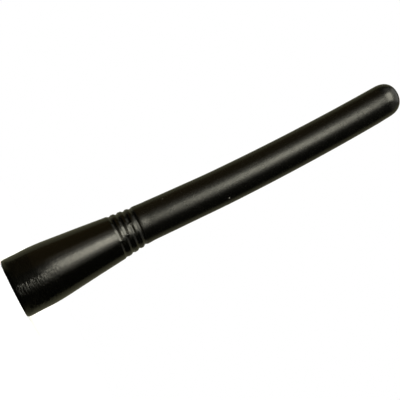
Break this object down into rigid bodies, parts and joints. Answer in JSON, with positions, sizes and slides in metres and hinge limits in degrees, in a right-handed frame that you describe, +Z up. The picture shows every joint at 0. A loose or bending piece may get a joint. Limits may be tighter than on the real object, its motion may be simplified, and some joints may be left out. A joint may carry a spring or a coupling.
{
  "type": "mast aerial",
  "caption": "Short black rubber mast aerial for a car: flared skirt over a threaded ferrule, grooved neck, slightly bowed tapering mast and rounded tip.",
  "frame": {"origin": "centre of the rim, on the thread's axis", "axes": "+Z up the thread's axis towards the tip; the mast's bow lies in the XZ plane and bulges towards +X"},
  "size_m": [0.0172, 0.0172, 0.12],
  "materials": {
    "rubber": "semi-gloss moulded",
    "plated_brass": "turned and nickel-plated",
    "glass_fibre": "satin",
    "enamelled_copper": "glossy enamel",
    "solder": "bright solder",
    "shrink_tube": "matt"
  },
  "bodies": {
    "root": {"sheath": "rubber", "ferrule": "plated_brass", "core_rod": "glass_fibre", "winding": "enamelled_copper", "solder_collar": "solder", "shrink_sleeve": "shrink_tube"}
  },
  "joints": []
}
